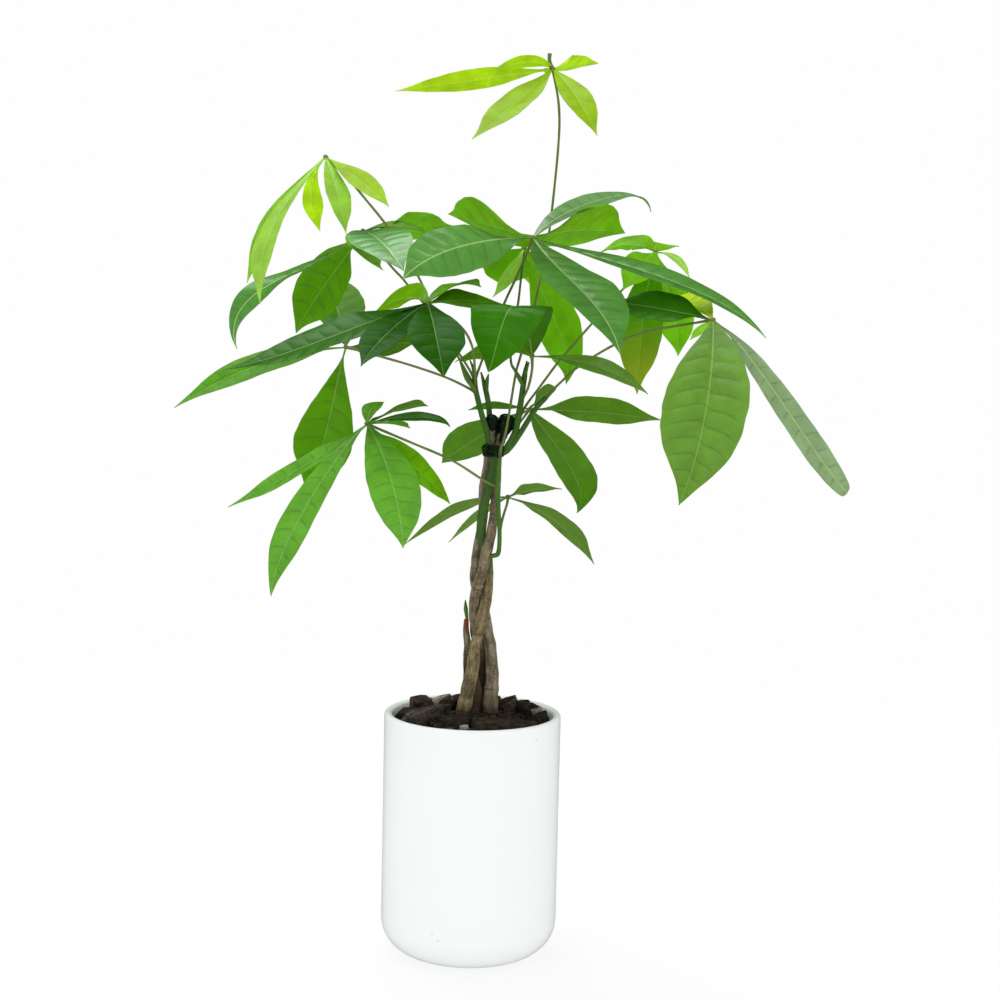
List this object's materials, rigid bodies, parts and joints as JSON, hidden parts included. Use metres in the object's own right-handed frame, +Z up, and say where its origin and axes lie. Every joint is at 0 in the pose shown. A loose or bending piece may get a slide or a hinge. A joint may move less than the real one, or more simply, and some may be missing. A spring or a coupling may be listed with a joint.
{
  "type": "potted money tree",
  "caption": "Money tree with braided woody stems and palmate leaves, growing in bark soil in a tall white cylinder pot.",
  "frame": {"origin": "centre of the pot's flat underside", "axes": "+Z up along the pot's axis, -Y towards the side that the picture shows, +X to the right of it"},
  "size_m": [0.4813, 0.3042, 0.6778],
  "materials": {
    "glazed_ceramic": "smooth white glaze on stoneware",
    "bark_soil": "dark, damp, rough",
    "stem_bark": "matt bark, green and smooth on young growth",
    "garden_tape": "soft dark green tape",
    "sealing_wax": "dark wound wax",
    "young_leaf": "thin and satin, light passes through",
    "leaf": "satin above, matt below",
    "dark_leaf": "glossy above, matt below"
  },
  "bodies": {
    "root": {"pot": "glazed_ceramic", "soil": "bark_soil", "stem_left": "stem_bark", "stem_right": "stem_bark", "stem_back": "stem_bark", "stub": "stem_bark", "tie": "garden_tape", "wax_right": "sealing_wax", "wax_back": "sealing_wax", "leaf_top": "young_leaf", "leaf_upper_left": "young_leaf", "leaf_left_high": "leaf", "leaf_middle_left": "dark_leaf", "leaf_left": "leaf", "leaf_low_left": "leaf", "leaf_centre": "leaf", "leaf_inner": "young_leaf", "leaf_upper_right": "young_leaf", "leaf_right": "leaf", "leaf_middle": "dark_leaf", "leaf_mid_right": "leaf", "leaf_low_right": "leaf"}
  },
  "joints": []
}
